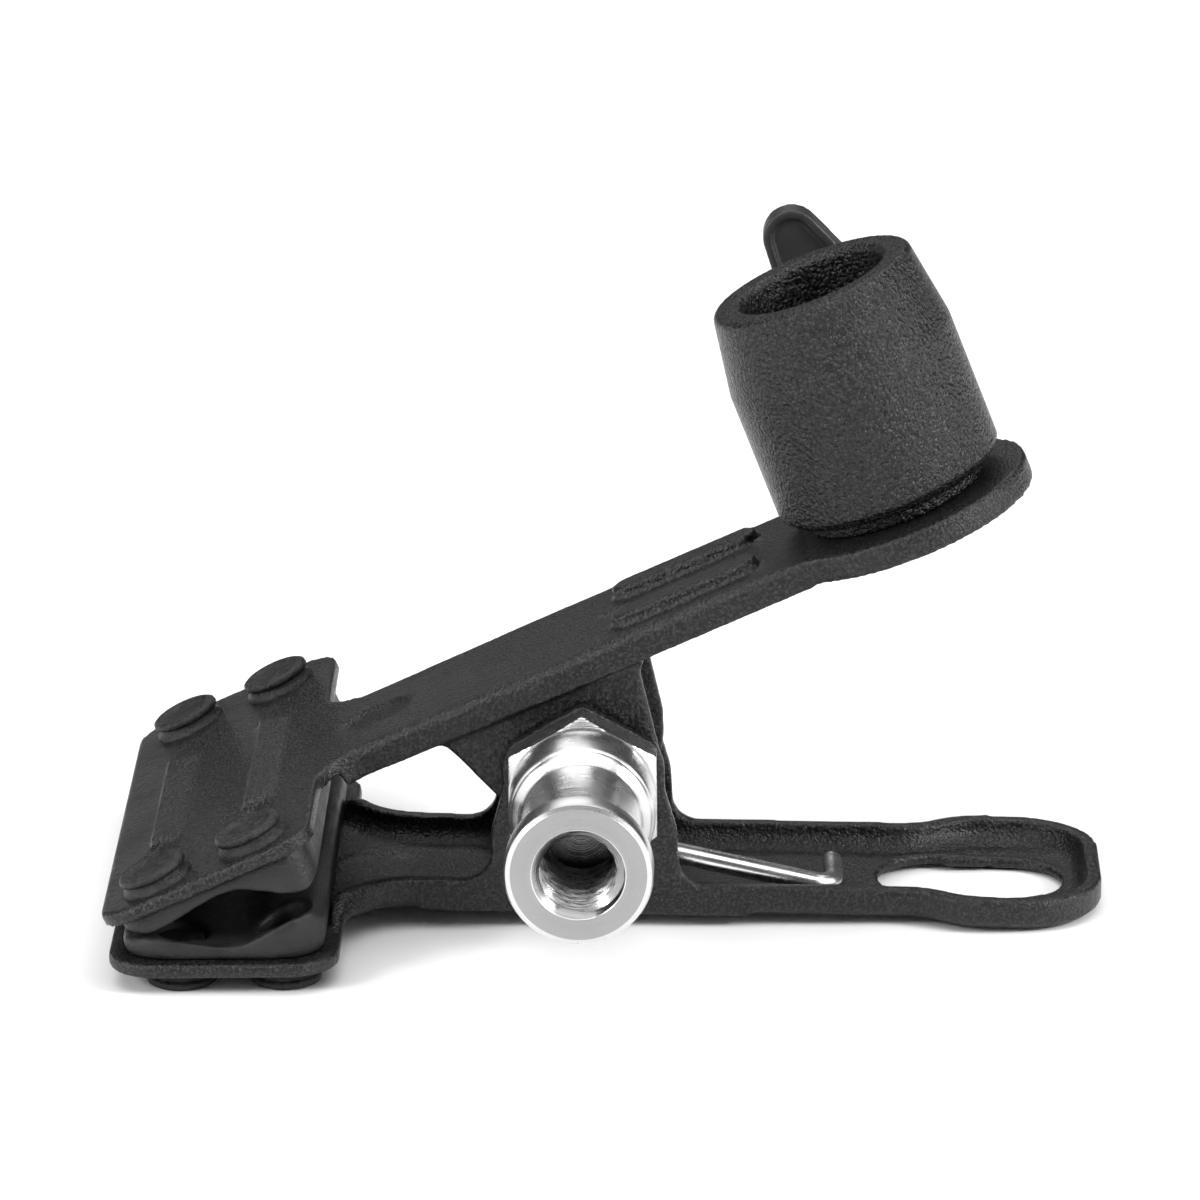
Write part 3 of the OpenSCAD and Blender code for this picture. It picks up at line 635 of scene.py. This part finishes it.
def tube(name, bore, radius, start, end, place, material):
    """A turned tube with small bevels; its outline closes on itself."""
    edge = 0.15
    rows = [(bore, start + edge), (bore + edge, start), (radius - edge, start), (radius, start + edge),
            (radius, end - edge), (radius - edge, end), (bore + edge, end), (bore, end - edge),
            (bore, start + edge)]
    return turned(name, rows, place, material)


sleeve = tube("pivot_sleeve_plated", bore=3.1, radius=4.5, start=-ear_in, end=ear_in,
              place=along_y(pivot), material=zinc)
stands_for(sleeve, "lower_arm", "zinc_steel", "pivot_sleeve")
pivot_washer = tube("pivot_washer_plated", bore=3.15, radius=6.2, start=ear_y, end=ear_y + washer_t,
                    place=along_y(pivot), material=zinc)
stands_for(pivot_washer, "lower_arm", "zinc_steel", "pivot_washer")


# ---- Socket ----
# The socket is a thick plastic moulding with a leather-like grain. A smaller foot lifts its lower
# edge clear of the arm's head, and a boss on its far side carries the clamping screw.
def socket_grain():
    material, tree, shader = new_material("socket_grain", (0.008, 0.008, 0.0085), 0.3, specular=0.4)
    leather = object_pattern(tree, "ShaderNodeTexVoronoi", 0.45)
    fine = object_pattern(tree, "ShaderNodeTexNoise", 0.33, Detail=2.0)
    tree.links.new(ramp(tree, fine.outputs["Fac"], 0.3, 0.7, 0.22, 0.36), shader.inputs["Roughness"])
    # The grain's hollows are painted far darker than its crests, as painted shade in the hollows
    crests = (0.024, 0.024, 0.025)
    shaded_hollows = (0.002, 0.002, 0.002)
    tree.links.new(ramp(tree, leather.outputs["Distance"], 0.1, 0.6, crests, shaded_hollows),
                   shader.inputs["Base Color"])
    bump(tree, shader, [(leather.outputs["Distance"], -0.14), (fine.outputs["Fac"], 0.26)])
    return material


grained = socket_grain()
socket = eased("socket", "socket_moulding", grained, voxel=0.26, passes=3)
stands_for(socket, "upper_arm", "socket_black", "socket")


# ---- Socket screw and washer ----
# A button-head screw comes up through the head of the arm and a washer, and holds the socket down.
head_u0 = 31
head_u = 43.2
head_t = 3
head_tilt = radians(3)
head_frame = (upper_frame @ Matrix.Translation(Vector((head_u0, 0, top_h)) * MM)
              @ Matrix.Rotation(head_tilt, 4, "Y")
              @ Matrix.Translation(Vector((head_u - head_u0, 0, 0)) * MM))
under_head = head_frame @ Matrix.Translation(Vector((0, 0, -head_t - washer_t)) * MM)
shank_end = head_t + washer_t + 5.5
button_rows = [(0, -1.2), (hexagon(4), -1.2), (hexagon(4), -2.3), (2.5, -2.4), (3.2, -2.35), (4.1, -1.95),
               (4.7, -1.35), (5, -0.6), (5, 0), (3, 0), (3, shank_end - 0.5), (2.5, shank_end),
               (0, shank_end)]
socket_screw = turned("socket_button_screw", button_rows, under_head, black_oxide, steps=72)
stands_for(socket_screw, "upper_arm", "bolt_black", "socket_screw")
socket_washer = tube("socket_washer_plated", bore=3.3, radius=5.6, start=0, end=washer_t,
                     place=under_head, material=zinc)
stands_for(socket_washer, "upper_arm", "zinc_steel", "socket_washer")


# ---- Clamping screw ----
# A brass insert is moulded into the socket's boss. A plated screw with a brass tip runs in it, and
# a plastic wing head, with sunk faces inside a raised rim, is moulded on the screw's end.
brass = plain_metal("turned_brass", (0.8, 0.6, 0.3), 0.28)
screw_axis = Vector(next(j for j in frame["joints"] if j["name"] == "wing_turn")["pos_m"])
screw_axis.y = pivot.y
insert = tube("brass_insert", bore=3.05, radius=4, start=9, end=14.2,
              place=along_y(screw_axis), material=brass)
stands_for(insert, "upper_arm", "brass", "thread_insert")
tip_start = 8.7
tip_end = 10.57
tip_rows = [(0, tip_start), (2.2, tip_start), (2.7, 9.1), (2.7, 10.43), (2.55, tip_end), (0, tip_end)]
tip = turned("brass_tip", tip_rows, along_y(screw_axis), brass, steps=48)
stands_for(tip, "tip", "brass", "screw_tip")

# The tip stops 0.03 mm short of the screw, so the two don't share a plane as the wing turns
screw_start = 10.6
screw_end = 21
screw_pitch = 1
screw_thread_start = 10.85
screw_thread_l = 10
screw_thread_steps = 80
screw_rows = [(0, screw_start), (2.4, screw_start), (2.5, 10.75)]
for row in range(screw_thread_steps + 1):
    height = screw_thread_start + screw_thread_l * row / screw_thread_steps
    screw_rows.append((thread(3.0, 2.45, screw_pitch, height), height))
screw_rows += [(2.5, screw_end - 0.05), (0, screw_end)]
screw = turned("wing_screw_thread", screw_rows, along_y(screw_axis), zinc, steps=48)
stands_for(screw, "wing", "zinc_steel", "wing_screw")


def wing_plastic():
    material, tree, shader = new_material("wing_plastic", (0.02, 0.02, 0.0205), 0.45, specular=0.4)
    skin = object_pattern(tree, "ShaderNodeTexNoise", 0.22, Detail=3.0)
    cloud = object_pattern(tree, "ShaderNodeTexNoise", 4.0, Detail=4.0)
    dark = (0.016, 0.016, 0.0165)
    pale = (0.028, 0.028, 0.0285)
    tree.links.new(ramp(tree, cloud.outputs["Fac"], 0.35, 0.7, dark, pale), shader.inputs["Base Color"])
    tree.links.new(ramp(tree, cloud.outputs["Fac"], 0.3, 0.7, 0.5, 0.38), shader.inputs["Roughness"])
    bump(tree, shader, [(skin.outputs["Fac"], 0.06)])
    return material


wing = eased("wing_head", "wing_moulding", wing_plastic(), voxel=0.22, passes=4)
stands_for(wing, "wing", "wing_black", "wing_head")


# ---- Floor and lights ----
# A seamless white floor under a broad overhead softbox. A small lamp at each front side, a panel at
# each side and a weak lamp behind draw the highlights. The room is dim, so black faces stay black.
scene.view_settings.view_transform = "Standard"
floor_reach = 3
floor_mesh = bpy.data.meshes.new("floor")
floor_mesh.from_pydata([(x, y, 0) for x, y in ((-floor_reach, -floor_reach), (floor_reach, -floor_reach),
                                               (floor_reach, floor_reach), (-floor_reach, floor_reach))],
                       [], [(0, 1, 2, 3)])
floor = bpy.data.objects.new("floor", floor_mesh)
scene.collection.objects.link(floor)
floor_paint = new_material("floor_paint", (0.93, 0.93, 0.93), 0.9, specular=0.1)[0]
floor_mesh.materials.append(floor_paint)


def softbox(name, place, size, watts):
    data = bpy.data.lights.new(name, "AREA")
    data.shape = "RECTANGLE"
    data.size, data.size_y = size
    data.energy = watts
    lamp = bpy.data.objects.new(name, data)
    scene.collection.objects.link(lamp)
    lamp.location = pivot + Vector(place)
    lamp.rotation_euler = (-Vector(place)).to_track_quat("-Z", "Y").to_euler()


softbox("overhead", (0.0, -0.1, 1.0), (1.5, 1.5), 14)
softbox("key", (0.8, -0.35, 0.5), (0.22, 0.22), 6)
softbox("left", (-0.75, -0.5, 0.5), (0.22, 0.22), 4)
softbox("right_panel", (0.95, -0.35, 0.3), (1.3, 0.9), 5)
softbox("left_panel", (-0.95, -0.35, 0.3), (1.3, 0.9), 5)
softbox("back", (-0.1, 0.8, 0.65), (0.5, 0.25), 1.4)
world = bpy.data.worlds.new("studio")
world.use_nodes = True
world.node_tree.nodes["Background"].inputs["Color"].default_value = (1, 1, 1, 1)
world.node_tree.nodes["Background"].inputs["Strength"].default_value = 0.06
scene.world = world
